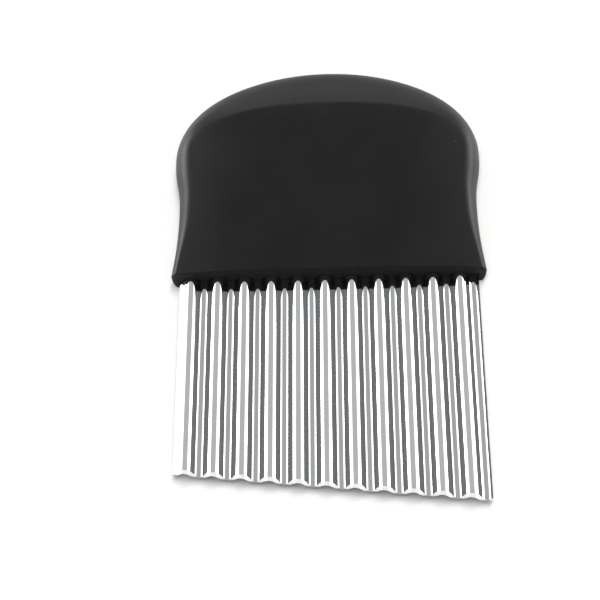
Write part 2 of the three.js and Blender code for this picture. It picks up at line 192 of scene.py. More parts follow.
# %% Fold a sheet
SHEET = 0.8 * MM
PITCH = 7.9 * MM
RIDGE_RADIUS = 1.75 * MM
VALLEY_RADIUS = 2.25 * MM
BEND_ANGLE = math.radians(50)
FIRST_RIDGE = 3.4 * MM
BLADE_HALF = 44 * MM
BLADE_MIDDLE = (blade_low.z + blade_high.z) / 2
LEAD_IN = 1.5 * PITCH  # the folding starts in a valley, a wave and a half left of the first ridge
WAVES = 14
BEND_STEPS = 14
CLOSE = 0.01 * MM
ACROSS = Vector((math.sin(BEND_ANGLE), 0, math.cos(BEND_ANGLE)))
FLANK_RUN = PITCH / 2 - (RIDGE_RADIUS + VALLEY_RADIUS) * ACROSS.x
FLANK_RISE = FLANK_RUN * math.tan(BEND_ANGLE)


def spin_edge(place, radius, side):
    """Spins the selected edge round a bend: side 1 turns down over a ridge, side -1 up out of a valley."""
    centre = place + radius * Vector((ACROSS.x, 0, -side * ACROSS.z))
    bpy.ops.mesh.spin(steps=BEND_STEPS, angle=-side * 2 * BEND_ANGLE, center=centre, axis=(0, 1, 0))
    return place + Vector((2 * radius * ACROSS.x, 0, 0))


def folded_sheet(name, low, high, half_width, offset):
    """A corrugated surface at an offset from the middle of the sheet, between two lines across the tool."""
    clear_selection()
    bpy.ops.mesh.primitive_plane_add(size=1)
    sheet = named(name)
    edit(sheet)
    valley = -BLADE_HALF + FIRST_RIDGE - LEAD_IN
    flank = BLADE_MIDDLE + (VALLEY_RADIUS - RIDGE_RADIUS) * (1 - ACROSS.z) / 2
    start = Vector((valley + (VALLEY_RADIUS - offset) * ACROSS.x, 0, flank + offset * ACROSS.z))
    bpy.ops.transform.resize(value=(FLANK_RUN, high - low, 1))
    bpy.ops.transform.translate(value=(start.x + FLANK_RUN / 2, (low + high) / 2, start.z - FLANK_RISE / 2))
    pick(sheet, "EDGE", lambda e: all(v.co.x > start.x + FLANK_RUN / 2 for v in e.verts))
    bpy.ops.transform.translate(value=(0, 0, FLANK_RISE))
    place = start + Vector((FLANK_RUN, 0, FLANK_RISE / 2))
    place = spin_edge(place, RIDGE_RADIUS + offset, 1)
    bpy.ops.mesh.extrude_region_move(TRANSFORM_OT_translate={"value": (FLANK_RUN, 0, -FLANK_RISE)})
    spin_edge(place + Vector((FLANK_RUN, 0, -FLANK_RISE)), VALLEY_RADIUS - offset, -1)
    bpy.ops.object.mode_set(mode="OBJECT")
    modify(sheet, "ARRAY", count=WAVES, use_relative_offset=False, use_constant_offset=True,
           constant_offset_displace=(PITCH, 0, 0), use_merge_vertices=True, merge_threshold=CLOSE)
    tidy_mesh(sheet, recalculate=True)
    edit(sheet)
    if sum(face.normal.z for face in sheet.data.polygons) < 0:
        bpy.ops.mesh.flip_normals()
    bpy.ops.object.mode_set(mode="OBJECT")
    for side in (-1, 1):
        trim(sheet, (side * half_width, 0, 0), (side, 0, 0))
    return sheet


TANG_END = blade_high.y
blade = folded_sheet("corrugated_blade", blade_low.y - PITCH, TANG_END, BLADE_HALF + SHEET, 0)
report(blade)

# %% [markdown]
# ## The blade
# On the real tool the folded sheet is sheared to length on a slant, so that one side of the blade is
# longer. Here a bisect shears it, and Solidify gives it the thickness of the sheet, half to each side,
# so that the bends keep their radius. The cut comes first, because Solidify then leaves it square to
# the sheet, as a real shear does.

# %% Shear and thicken the sheet
EDGE_RISE = 9 * MM
EDGE_RIGHT = blade_low.y
EDGE_LEFT = EDGE_RIGHT + EDGE_RISE
slant = Vector((2 * BLADE_HALF, EDGE_RIGHT - EDGE_LEFT, 0)).normalized()
trim(blade, (-BLADE_HALF, EDGE_LEFT, 0), (slant.y, -slant.x, 0))
one_side = len(blade.data.vertices)
modify(blade, "SOLIDIFY", thickness=SHEET, offset=0, use_even_offset=True, use_quality_normals=True)
front_first = blade.data.vertices[0].co.z > blade.data.vertices[one_side].co.z
report(blade)

# %% [markdown]
# ## Grinding the edge
# A grinding wheel takes the front corner off the cut. The narrow face of the cut is subdivided, and its
# front points slide up by the length of the bevel, which is longer on the ridges than in the valleys,
# where a wheel hardly reaches. A Bevel modifier would give the same width everywhere, and the edge
# would lose its scallops.

# %% Grind the cutting bevel
BEVEL_LENGTH = 0.9 * MM
BEVEL_IN_VALLEY = 0.03 * MM
EDGE_SHARE = 0.15


def in_front(vertex):
    """True for a point on the front side of the sheet."""
    return (vertex.index < one_side) == front_first


def at_cut(vertex):
    """True for a point on the cutting edge, which lies far below every other point."""
    return vertex.co.y < EDGE_LEFT + BEVEL_LENGTH


def crosses_cut(edge):
    """True for a short edge across the narrow face of the cut."""
    first, second = edge.verts
    return at_cut(first) and at_cut(second) and in_front(first) != in_front(second)


edit(blade)
pick(blade, "EDGE", crosses_cut)
bpy.ops.mesh.subdivide(number_cuts=1)
mesh = bmesh.from_edit_mesh(blade.data)
for vertex in mesh.verts:
    if vertex.index >= 2 * one_side:
        ends = [edge.other_vert(vertex) for edge in vertex.link_edges]
        front = next(end for end in ends if end.index < 2 * one_side and in_front(end))
        back = next(end for end in ends if end.index < 2 * one_side and not in_front(end))
        vertex.co = back.co.lerp(front.co, EDGE_SHARE)
ground = [v for v in mesh.verts if v.index < 2 * one_side and at_cut(v) and in_front(v)]
lowest = min(vertex.co.z for vertex in ground)
highest = max(vertex.co.z for vertex in ground)
for vertex in ground:
    share = min(2 * (vertex.co.z - lowest) / (highest - lowest), 1)
    vertex.co.y += BEVEL_IN_VALLEY + (BEVEL_LENGTH - BEVEL_IN_VALLEY) * share
bmesh.update_edit_mesh(blade.data)
bpy.ops.object.mode_set(mode="OBJECT")
print("ground bevel along", len(ground), "points of the cutting edge")

# %% [markdown]
# ## Trimming the sides
# A shear leaves the two sides of a folded sheet upright, and not square to the slope of the fold. So
# the sheet was made a little too wide, and the sides are trimmed straight down only now, when it has
# its thickness.

# %% Trim the two sides
for side in (-1, 1):
    trim(blade, (side * BLADE_HALF, 0, 0), (side, 0, 0), fill=True)
report(blade)

# %% [markdown]
# ## The tang
# The upper end of the blade goes into the handle. It is narrower there, so that the handle's wall can
# close round it, and three posts of the handle pass through holes in it, which keeps it from being
# pulled out. Blocks and bars cut these with Boolean modifiers, as a punch would. Weighted normals then
# keep the flanks flat to the eye and put all of the rounding into the bends.

# %% Punch the tang
SHOULDER_LINE = MOUTH + 3.6 * MM
TANG_HALF = 37 * MM
FIT = 0.3 * MM
POST_RADIUS = 4 * MM
SCREW_LINE = MOUTH + 22 * MM
SCREW_PLACES = {"left": -24 * MM, "middle": 0, "right": 24 * MM}
ROUND_STEPS = 48
HALF_STEP = math.pi / ROUND_STEPS
SMOOTH_ANGLE = math.radians(35)
BLADE_OVER = 2 * BLADE_MIDDLE + SHEET


def bar(name, radius, x, low, high):
    """A round bar on the line of the screws, as a tool for cutting or joining."""
    clear_selection()
    middle = (x, SCREW_LINE, (low + high) / 2)
    bpy.ops.mesh.primitive_cylinder_add(vertices=ROUND_STEPS, radius=radius, depth=high - low,
                                        location=middle, rotation=(0, 0, HALF_STEP))
    tool = named(name)
    bpy.ops.object.transform_apply(location=True, rotation=True)
    return tool


def smooth(piece):
    """Smooth shading that stops at corners, with normals weighted by the size of the faces."""
    take(piece)
    bpy.ops.object.shade_smooth_by_angle(angle=SMOOTH_ANGLE)
    modify(piece, "WEIGHTED_NORMAL", keep_sharp=True)


for side in (-1, 1):
    near, far = sorted((side * TANG_HALF, side * 2 * BLADE_HALF))
    cut(blade, block("shoulder", (near, SHOULDER_LINE, -SHEET), (far, 2 * PALM_END, BLADE_OVER)))
for x in SCREW_PLACES.values():
    cut(blade, bar("post_hole", POST_RADIUS + FIT, x, -SHEET, BLADE_OVER))
tidy_mesh(blade)
smooth(blade)
report(blade)

# %% [markdown]
# ## The outline of the handle
# The handle is moulded in two shells that meet at the level of the blade. Seen from the front, both
# have the same outline: a straight mouth with small round corners, sides that draw in to a waist and
# swell to the palm, and a domed end. The points of that outline come from a few curves, worked out on
# the right half and mirrored.

# %% Draw the outline
MOUTH_HALF = 46.5 * MM
WAIST_HALF = 44.8 * MM
PALM_HALF = 46.5 * MM
WAIST_LINE = MOUTH + 23 * MM
PALM_LINE = MOUTH + 40.1 * MM
MOUTH_CORNER = 0.9 * MM
MOUTH_FLARE = math.radians(8.5)
SIDE_EASE = 8.5 * MM
SMALLEST_CORNER = 0.2 * MM
MOUTH_STEPS = 16
CORNER_STEPS = 8
SIDE_STEPS = 14
DOME_STEPS = 40


def bend(a, b, c, d, steps):
    """Points on a curve from a to d, leaving towards b and coming in from c, without its first point."""
    line = []
    for step in range(1, steps + 1):
        t = step / steps
        line.append((1 - t) ** 3 * a + 3 * t * (1 - t) ** 2 * b + 3 * t * t * (1 - t) * c + t ** 3 * d)
    return line


def arc(centre, across, up, first, last, steps):
    """Points along part of an ellipse, without its first point."""
    turns = [first + (last - first) * step / steps for step in range(1, steps + 1)]
    return [centre + Vector((across * math.cos(turn), up * math.sin(turn))) for turn in turns]


def lower_half(half_width, bottom, radius, waist, palm):
    """The right side of an outline from the middle of the mouth up to the palm."""
    corner = Vector((half_width - radius, bottom + radius))
    line = [Vector((corner.x * step / MOUTH_STEPS, bottom)) for step in range(MOUTH_STEPS + 1)]
    line += arc(corner, radius, radius, -math.pi / 2, MOUTH_FLARE, CORNER_STEPS)
    waist_point = Vector((waist, WAIST_LINE))
    palm_point = Vector((palm, PALM_LINE))
    ease = Vector((0, SIDE_EASE))
    lean = SIDE_EASE * Vector((-math.sin(MOUTH_FLARE), math.cos(MOUTH_FLARE)))
    line += bend(line[-1], line[-1] + lean, waist_point - ease, waist_point, SIDE_STEPS)
    line += bend(waist_point, waist_point + ease, palm_point - ease, palm_point, SIDE_STEPS)
    return line


def mirrored(half):
    """Closes the right half of an outline with its mirror image."""
    return half + [Vector((-point.x, point.y)) for point in half[-2:0:-1]]


def handle_outline(inset, mouth_inset, corner_inset=None):
    """The outline where the shells meet, moved in, by its own measure at the mouth's corners if given."""
    corner = inset if corner_inset is None else corner_inset
    radius = max(MOUTH_CORNER - corner, SMALLEST_CORNER)
    palm = PALM_HALF - inset
    half = lower_half(MOUTH_HALF - corner, MOUTH + mouth_inset, radius, WAIST_HALF - inset, palm)
    dome = arc(Vector((0, PALM_LINE)), palm, PALM_END - PALM_LINE - inset, 0, math.pi / 2, DOME_STEPS)
    return mirrored(half + dome)


outline = handle_outline(0, 0)
print("outline of", len(outline), "points")

# %% [markdown]
# ## Bodies from rings
# A shell has no straight sides, so it is drawn up from a flat start: a filled circle is moved onto the
# first ring of points, and then extruded again and again, with each new ring moved to its place. This
# is how a modeller pulls up a vase. A poke closes the last ring with a fan.

# %% Pull up a body ring by ring
def next_ring(mesh, ring):
    """The extruded points in the order of the ring that they came from."""
    mesh.verts.ensure_lookup_table()
    grown = []
    for index in ring:
        start = mesh.verts[index]
        ends = [edge.other_vert(start) for edge in start.link_edges]
        grown.append(next(end.index for end in ends if end.select))
    return grown


def ringed_body(name, rings):
    """A closed body through rings of matching points, flat at its first ring."""
    clear_selection()
    bpy.ops.mesh.primitive_circle_add(vertices=len(rings[0]), radius=PALM_HALF, fill_type="NGON")
    body = named(name)
    edit(body)
    bpy.ops.mesh.select_mode(type="FACE")
    ring = list(range(len(rings[0])))
    for level, points in enumerate(rings):
        if level:
            bpy.ops.mesh.extrude_region_move()
        mesh = bmesh.from_edit_mesh(body.data)
        if level:
            ring = next_ring(mesh, ring)
        mesh.verts.ensure_lookup_table()
        for index, point in zip(ring, points):
            mesh.verts[index].co = point
        bmesh.update_edit_mesh(body.data)
    bpy.ops.mesh.poke()
    bpy.ops.mesh.select_all(action="SELECT")
    bpy.ops.mesh.normals_make_consistent(inside=False)
    bpy.ops.object.mode_set(mode="OBJECT")
    return body


def level_ring(line, height):
    """A flat ring at one height."""
    return [Vector((point.x, point.y, height)) for point in line]


print("bodies can be pulled up from rings of", len(outline), "points")

# %% [markdown]
# ## The front shell
# The front is a gently rounded face inside a rounded rim. The rim is narrow along the sides and grows
# into a broad crown at the palm end. Above the middle of the face the two meet in a crease, which fades
# out at the corners, where the face falls away and runs smoothly into the rim. At the mouth the rim is
# only a small round lip. Each ring lies a share of the way from the outline to the edge of the face, on
# an arc, and further rings fill the face.

# %% Shape of the front
SEAM = 0.2 * MM
FRONT_SEAT = BLADE_MIDDLE + SEAM / 2
LIP_HEIGHT = 9.7 * MM
CREASE_HEIGHT = front_high.z
CREASE_LINE = MOUTH + 53.8 * MM
FACE_ROLL = 0.18
FACE_FALL_MOUTH = 2 * MM
FACE_FALL_PALM = 5 * MM
LIP_ROUND = 0.6 * MM
CREASE_SHOULDER = 9 * MM
CREASE_FLAT = 27 * MM
MARGIN_MOUTH = 2 * MM
MARGIN_WAIST = 4.4 * MM
MARGIN_PALM = 5.8 * MM
CREASE_ANGLE = math.radians(65)
SMOOTH_RIM_ANGLE = math.radians(86)
CREASE_FADE = (20 * MM, 40 * MM)
RIM_STEPS = 12
LIP_START = 0.4
FACE_SHARES = (0.02, 0.05, 0.1, 0.17, 0.25, 0.34, 0.44, 0.55, 0.67, 0.8, 0.93)


def face_height(x, y):
    """Height of the front face above the back."""
    share = min(max((y - MOUTH) / (CREASE_LINE - MOUTH), 0), 1)
    half_width = MOUTH_HALF + (PALM_HALF - MOUTH_HALF) * share
    fall = (FACE_FALL_MOUTH + (FACE_FALL_PALM - FACE_FALL_MOUTH) * share) * (x / half_width) ** 4
    rise = share + FACE_ROLL * (share ** 3 - share ** 6)
    return LIP_HEIGHT + (CREASE_HEIGHT - LIP_HEIGHT) * rise - fall


def face_edge(inset, mouth_inset):
    """The edge of the front face, matching the outline point by point."""
    radius = max(MOUTH_CORNER - inset - MARGIN_MOUTH / 2, SMALLEST_CORNER)
    palm = PALM_HALF - MARGIN_PALM - inset
    half = lower_half(MOUTH_HALF - MARGIN_MOUTH - inset, MOUTH + mouth_inset, radius,
                      WAIST_HALF - MARGIN_WAIST - inset, palm)
    shoulder = Vector((palm, PALM_LINE + CREASE_SHOULDER))
    level = Vector((CREASE_FLAT, CREASE_LINE))
    crease = bend(half[-1], shoulder, level, Vector((0, CREASE_LINE)), DOME_STEPS)
    return mirrored(half + crease)


def lip_weights():
    """1 along the mouth, easing to 0 round the corners: where the rim is a lip instead of an arc."""
    half = [1.0] * (MOUTH_STEPS + 1)
    half += [1 - step / CORNER_STEPS for step in range(1, CORNER_STEPS + 1)]
    half += [0.0] * (2 * SIDE_STEPS + DOME_STEPS)
    return half + half[-2:0:-1]


def crease_weight(point):
    """1 on the middle of the crease, easing to 0 towards its ends and along the sides."""
    if point.y < PALM_LINE:
        return 0
    share = min(max((CREASE_FADE[1] - abs(point.x)) / (CREASE_FADE[1] - CREASE_FADE[0]), 0), 1)
    return share * share * (3 - 2 * share)


def rim_share(share, angle, lip, lip_ratio):
    """How far in and how far up a point of the rim lies, for a share of the way along it."""
    turn = angle * share
    inward = (1 - math.cos(turn)) / (1 - math.cos(angle))
    upward = math.sin(turn) / math.sin(angle)
    lip_turn = math.pi / 2 * max(share - LIP_START, 0) / (1 - LIP_START)
    lip_inward = 1 - math.cos(lip_turn)
    lip_upward = min(share / LIP_START, 1) * (1 - lip_ratio) + lip_ratio * math.sin(lip_turn)
    return inward + (lip_inward - inward) * lip, upward + (lip_upward - upward) * lip


def front_body(name, inset, skirt):
    """The front half of the handle as a full body, inset for the hollow of the shell."""
    line = handle_outline(inset, inset)
    edge = face_edge(inset, max(inset, LIP_ROUND))
    rings = [level_ring(line, FRONT_SEAT - skirt)] if skirt else []
    for step in range(RIM_STEPS + 1):
        ring = []
        for low, high, lip in zip(line, edge, lip_weights()):
            top = face_height(high.x, high.y) - inset
            angle = SMOOTH_RIM_ANGLE + (CREASE_ANGLE - SMOOTH_RIM_ANGLE) * crease_weight(high)
            lip_ratio = LIP_ROUND / (top - FRONT_SEAT)
            inward, upward = rim_share(step / RIM_STEPS, angle, 0 if inset else lip, lip_ratio)
            flat = low.lerp(high, inward)
            ring.append(Vector((flat.x, flat.y, FRONT_SEAT + (top - FRONT_SEAT) * upward)))
        rings.append(ring)
    centre = Vector((0, (MOUTH + CREASE_LINE) / 2))
    for share in FACE_SHARES:
        ring = [point.lerp(centre, share) for point in edge]
        rings.append([Vector((point.x, point.y, face_height(point.x, point.y) - inset)) for point in ring])
    return ringed_body(name, rings)


front_shell = front_body("front_shell", 0, 0)
report(front_shell)

# %% [markdown]
# ## The crease
# No mould leaves a crease as sharp as a knife, because the cutter that made the mould was round. A
# small bevel gives the crease the soft line of light that the eye expects there. Only its middle is
# bevelled, since the crease fades out towards its ends, where face and rim already run into each other.

# %% Soften the crease
CREASE_ROUND = 0.4 * MM
BEVEL_SEGMENTS = 3
CREASE_SHOWS = 0.3
crease_points = [point for point in face_edge(0, LIP_ROUND) if crease_weight(point) > CREASE_SHOWS]


def on_crease(vertex):
    """True for a vertex that lies on the part of the crease that shows."""
    at_height = abs(vertex.co.z - face_height(vertex.co.x, vertex.co.y)) < CLOSE
    return at_height and any((vertex.co.xy - point).length < CLOSE for point in crease_points)


edit(front_shell)
softened = pick(front_shell, "EDGE", lambda e: all(on_crease(v) for v in e.verts))
bpy.ops.mesh.bevel(offset=CREASE_ROUND, segments=BEVEL_SEGMENTS, profile=0.5, clamp_overlap=True)
bpy.ops.object.mode_set(mode="OBJECT")
print("softened", softened, "edges of the crease")
report(front_shell)

# %% [markdown]
# ## Inside the front shell
# The shell is hollow, like every moulding of this size. A smaller body of the same form cuts the
# hollow. The mouth has a slot for the blade, and teeth of plastic fill the grooves of the corrugation
# so that no food gets in. A rib inside clamps the tang. Teeth and rib are made from the folded sheet
# itself, so that they fit it.

# %% Hollow the front shell and add its teeth
WALL = 2.2 * MM
SLOT_HALF = (blade_high.z - blade_low.z) / 2 + FIT
RIB_LINE = MOUTH + 40 * MM
RIB_THICKNESS = 2 * MM
RIB_HALF = TANG_HALF - 2 * MM
REACH = 20 * MM
SEAL = 0.1 * MM
TOOTH_DEPTH = 2.5 * MM


def comb(name, side, half_width, level, low, high, gap):
    """Teeth that follow the front (side 1) or the back (side -1) of the sheet and end at a flat level."""
    teeth = folded_sheet(name, low, high, half_width, side * (SHEET / 2 + gap))
    edit(teeth)
    bpy.ops.mesh.extrude_region_move(TRANSFORM_OT_translate={"value": (0, 0, side * REACH)})
    bpy.ops.mesh.select_all(action="SELECT")
    bpy.ops.mesh.normals_make_consistent(inside=False)
    trim(teeth, (0, 0, level), (0, 0, side), fill=True)
    return teeth


def blade_slot():
    """Room for the full width of the blade at the mouth."""
    half = BLADE_HALF + FIT
    return block("slot", (-half, MOUTH - WALL, BLADE_MIDDLE - SLOT_HALF),
                 (half, SHOULDER_LINE + FIT, BLADE_MIDDLE + SLOT_HALF))


def mouth_teeth(side, level):
    """The teeth at the mouth, which seal it against the blade."""
    return comb("mouth_teeth", side, BLADE_HALF + FIT, level, MOUTH, MOUTH + TOOTH_DEPTH, SEAL)


def tang_rib(side, level):
    """The rib that clamps the tang."""
    return comb("rib", side, RIB_HALF, level, RIB_LINE, RIB_LINE + RIB_THICKNESS, FIT)


cut(front_shell, front_body("hollow", WALL, WALL))
cut(front_shell, blade_slot())
cut(front_shell, mouth_teeth(1, face_height(BLADE_HALF + FIT, MOUTH) - WALL / 2), "UNION")
rib = tang_rib(1, CREASE_HEIGHT)
cut(rib, front_body("rib_limit", WALL / 2, WALL), "INTERSECT")
cut(front_shell, rib, "UNION")
report(front_shell)

# %% [markdown]
# ## Posts and tongue
# Three posts take the screws and pass through the holes of the tang, so the blade can't be pulled out.
# A thin tongue along the edge finds its way into the rear shell and keeps the two in line. Both grow
# out of walls that are already there, so they are overlapped with them and joined with Boolean
# modifiers.

# %% Posts and tongue of the front shell
TONGUE_WIDTH = 1 * MM
TONGUE_DEPTH = 1.2 * MM
RECESS = 2.6 * MM
SCREW_RADIUS = 1.5 * MM
SCREW_GRIP = 6.5 * MM
PILOT_TOP = RECESS + SCREW_GRIP + FIT


def outline_block(name, inset, mouth_inset, low, high):
    """A straight-sided body with the outline of the handle."""
    line = handle_outline(inset, mouth_inset)
    return ringed_body(name, [level_ring(line, low), level_ring(line, high)])


lip_inset = WALL + FIT
tongue_low = FRONT_SEAT - SEAM - TONGUE_DEPTH
tongue_high = FRONT_SEAT + TONGUE_DEPTH
tongue = outline_block("tongue", lip_inset, lip_inset, tongue_low, tongue_high)
root = outline_block("tongue_root", WALL / 2, WALL / 2, FRONT_SEAT, tongue_high)
cut(tongue, root, "UNION")
inner = lip_inset + TONGUE_WIDTH
cut(tongue, outline_block("tongue_hollow", inner, inner, -REACH, REACH))
trim(tongue, (0, SHOULDER_LINE + 2 * WALL, 0), (0, -1, 0), fill=True)
cut(front_shell, tongue, "UNION")
for x in SCREW_PLACES.values():
    post_top = face_height(x, SCREW_LINE) - WALL / 2
    cut(front_shell, bar("post", POST_RADIUS, x, BLADE_MIDDLE - SEAM / 2, post_top), "UNION")
    cut(front_shell, bar("pilot_hole", SCREW_RADIUS + FIT, x, 0, PILOT_TOP))
tidy_mesh(front_shell)
smooth(front_shell)
report(front_shell)

# %% [markdown]
# ## The rear shell
# The back of the handle is flat, with a rolled edge, so that the tool lies still on a table. It is
# pulled up from rings as well, from the seam down to the back, then hollowed, slotted and given teeth
# that reach into the corrugation from behind. Three counterbores take the heads of the screws and the
# plugs that cover them.

# %% Shape the rear shell
BACK_ROLL = 3.4 * MM
BACK_ROLL_MOUTH = 1.2 * MM
ROLL_STEPS = 10
REAR_SEAT = BLADE_MIDDLE - SEAM / 2
HEAD_RADIUS = 2.6 * MM
back_edge = handle_outline(BACK_ROLL, 0, BACK_ROLL_MOUTH)
rear_rings = []
for step in range(ROLL_STEPS + 1):
    turn = math.pi / 2 * step / ROLL_STEPS
    ring = [low.lerp(high, 1 - math.cos(turn)) for low, high in zip(outline, back_edge)]
    rear_rings.append(level_ring(ring, REAR_SEAT * (1 - math.sin(turn))))
rear_shell = ringed_body("rear_shell", rear_rings)
cut(rear_shell, outline_block("hollow", WALL, WALL, WALL, BLADE_MIDDLE + WALL))
cut(rear_shell, blade_slot())
cut(rear_shell, mouth_teeth(-1, WALL / 2), "UNION")
cut(rear_shell, tang_rib(-1, WALL / 2), "UNION")
for x in SCREW_PLACES.values():
    cut(rear_shell, bar("boss", POST_RADIUS, x, WALL / 2, REAR_SEAT - FIT), "UNION")
    cut(rear_shell, bar("counterbore", HEAD_RADIUS + FIT, x, -WALL, RECESS))
    cut(rear_shell, bar("screw_hole", SCREW_RADIUS + FIT, x, 0, BLADE_MIDDLE))
tidy_mesh(rear_shell)
smooth(rear_shell)
report(rear_shell)

# %% [markdown]
# ## The plugs
# Three small caps press into the counterbores and hide the screws. Each is a short bar with a bevelled
# rim and a faint dish in its face, which an inset and a small push give it. One is modelled, and the
# others are copies.

# %% Shape one plug and copy it
PLUG_FOOT = 0.1 * MM
PLUG_THICKNESS = 0.8 * MM
PLUG_ROUND = 0.2 * MM
DISH_MARGIN = 0.6 * MM
DISH_DEPTH = 0.08 * MM
SHARP_TURN = 1.0
DOWN_FACING = -0.5


def on_rim(edge):
    """True for an edge round the outer face of the plug."""
    sharp = len(edge.link_faces) == 2 and edge.calc_face_angle() > SHARP_TURN
    return sharp and edge.verts[0].co.z < PLUG_FOOT + CLOSE


plug = bar("plug_left", HEAD_RADIUS, SCREW_PLACES["left"], PLUG_FOOT, PLUG_FOOT + PLUG_THICKNESS)
edit(plug)
pick(plug, "FACE", lambda f: f.normal.z < DOWN_FACING)
bpy.ops.mesh.inset(thickness=DISH_MARGIN)
bpy.ops.transform.translate(value=(0, 0, DISH_DEPTH))
pick(plug, "EDGE", on_rim)
bpy.ops.mesh.bevel(offset=PLUG_ROUND, segments=BEVEL_SEGMENTS)
bpy.ops.object.mode_set(mode="OBJECT")
smooth(plug)
plugs = {"left": plug}
for side in ("middle", "right"):
    take(plug)
    bpy.ops.object.duplicate(linked=False)
    copy = named("plug_" + side)
    edit(copy)
    bpy.ops.transform.translate(value=(SCREW_PLACES[side] - SCREW_PLACES["left"], 0, 0))
    bpy.ops.object.mode_set(mode="OBJECT")
    plugs[side] = copy
for piece in plugs.values():
    report(piece)

# %% [markdown]
# ## Ways of making a material
# Colours are written as sRGB hex values, as a colour picker shows them, and one function turns them
# into the linear numbers that the shader wants. Another adds a node, sets its values and links its
# inputs. Patterns read the Object coordinates, in metres, so a scale of one over the size of a mark
# gives about one mark in that size.

# %% Helpers for materials
def colour(code):
    """A linear colour from an sRGB hex value."""
    values = [int(code[i:i + 2], 16) / 255 for i in (1, 3, 5)]
    return tuple(v / 12.92 if v <= 0.04045 else ((v + 0.055) / 1.055) ** 2.4 for v in values) + (1.0,)


def add_node(tree, kind, inputs, **settings):
    """Adds a node with its settings. Each input is a value, or the output socket of another node."""
    node = tree.nodes.new(kind)
    for name, value in settings.items():
        setattr(node, name, value)
    for name, value in inputs.items():
        if isinstance(value, bpy.types.NodeSocket):
            tree.links.new(value, node.inputs[name])
        else:
            node.inputs[name].default_value = value
    return node


def new_material(name):
    """An empty node material."""
    material = bpy.data.materials.new(name)
    material.use_nodes = True
    material.node_tree.nodes.clear()
    return material, material.node_tree


def per_mm(*sizes):
    """Pattern scales from the sizes of the marks in millimetres."""
    return tuple(1 / (size * MM) for size in sizes)


print("white paper is", [round(v, 3) for v in colour("#F4F4F2")[:3]])

# %% [markdown]
# ## Polished stainless steel
# The blade is cold-rolled stainless sheet with a bright polish. The eye sees a mirror that is drawn out
# a little along the ridges by fine rolling lines: crests give back the plain ceiling as grey, shoulders
# show the bright lamps, and flanks mirror each other until they are dark. So the base is a plain metal
# with painted shade, darker towards the valleys and lighter towards the ridges, and the lines only vary
# roughness, shade and bump a little. The ground bevel is rougher and paler, a white line along the edge,
# and the zinc on the screws is a dull light grey.

# %% Steel of the blade
LINE_WIDTH = 0.3  # real rolling lines are about 0.02 mm, which is too fine to show, so these are coarser
LINE_LENGTH = 45
CLOUD = 18
LINE_SHADE = 0.4
# painted shade: how much lighter the base colour is on the ridges than in the valleys
PAINTED_RIDGE_LIGHT = 0.8
RIDGE_TOP = blade_high.z
VALLEY_TOP = blade_low.z + SHEET


def rolled_steel(name, base, smoothest, roughest, line_depth):
    """Metal with lines along the ridges, soft clouds, and painted shade that darkens the valleys and
    lightens the ridges.
    """
    material, tree = new_material(name)
    place = add_node(tree, "ShaderNodeTexCoord", {})
    along = add_node(tree, "ShaderNodeMapping", {
        "Vector": place.outputs["Object"],
        "Scale": per_mm(LINE_WIDTH, LINE_LENGTH, LINE_WIDTH),
    })
    lines = add_node(tree, "ShaderNodeTexNoise", {
        "Vector": along.outputs["Vector"], "Scale": 1.0, "Detail": 3.0, "Roughness": 0.6,
    })
    clouds = add_node(tree, "ShaderNodeTexNoise", {
        "Vector": place.outputs["Object"], "Scale": per_mm(CLOUD)[0], "Detail": 2.0,
    })
    mixed = add_node(tree, "ShaderNodeMath", {0: lines.outputs["Fac"], 1: clouds.outputs["Fac"]},
                     operation="MULTIPLY")
    rough = add_node(tree, "ShaderNodeMapRange", {
        "Value": mixed.outputs["Value"], "From Min": 0.1, "From Max": 0.45,
        "To Min": smoothest, "To Max": roughest,
    })
    parts = add_node(tree, "ShaderNodeSeparateXYZ", {"Vector": place.outputs["Object"]})
    # painted shade: by height, the base colour is dark in the valleys and light on the ridges
    height = add_node(tree, "ShaderNodeMapRange", {
        "Value": parts.outputs["Z"], "From Min": VALLEY_TOP, "From Max": RIDGE_TOP, "To Max": PAINTED_RIDGE_LIGHT,
    })
    shade = add_node(tree, "ShaderNodeMath", {
        0: lines.outputs["Fac"], 1: LINE_SHADE, 2: height.outputs["Result"],
    }, operation="MULTIPLY_ADD")
    tint = add_node(tree, "ShaderNodeMix", {
        "Factor": shade.outputs["Value"], "A": colour(base[0]), "B": colour(base[1]),
    }, data_type="RGBA")
    bump = add_node(tree, "ShaderNodeBump", {
        "Height": lines.outputs["Fac"], "Strength": line_depth, "Distance": 0.02 * MM,
    })
    shader = add_node(tree, "ShaderNodeBsdfPrincipled", {
        "Base Color": tint.outputs["Result"], "Metallic": 1.0,
        "Roughness": rough.outputs["Result"], "Normal": bump.outputs["Normal"],
    })
    add_node(tree, "ShaderNodeOutputMaterial", {"Surface": shader.outputs["BSDF"]})
    return material


polished_steel = rolled_steel("polished_rolled_stainless_steel", ("#9D9E9F", "#B2B3B4"), 0.04, 0.09, 0.1)
ground_steel = rolled_steel("ground_stainless_steel", ("#DEDFDF", "#F0F0F0"), 0.25, 0.4, 0.3)
zinc_steel = rolled_steel("zinc_plated_screw_steel", ("#9EA3A8", "#B4B8BA"), 0.28, 0.42, 0.2)
print("steels:", polished_steel.name, ground_steel.name, zinc_steel.name)

# %% [markdown]
# ## Black moulded plastic
# The handle is black polypropylene from a mould with a fine matt texture. The eye sees a deep black
# with a soft, broad sheen, a little greyer where the rim turns towards the lamps. A faint grain bends
# the sheen, larger clouds show where hands have polished it, and a few grains of pale dust lie on it.
# The mouth, where no hand rubs, keeps the full matt of the mould.

# %% Plastic of the handle
GRAIN = 0.35
HAND_MARKS = 14
DUST_SPACING = 11
DUST_SIZE = 0.02


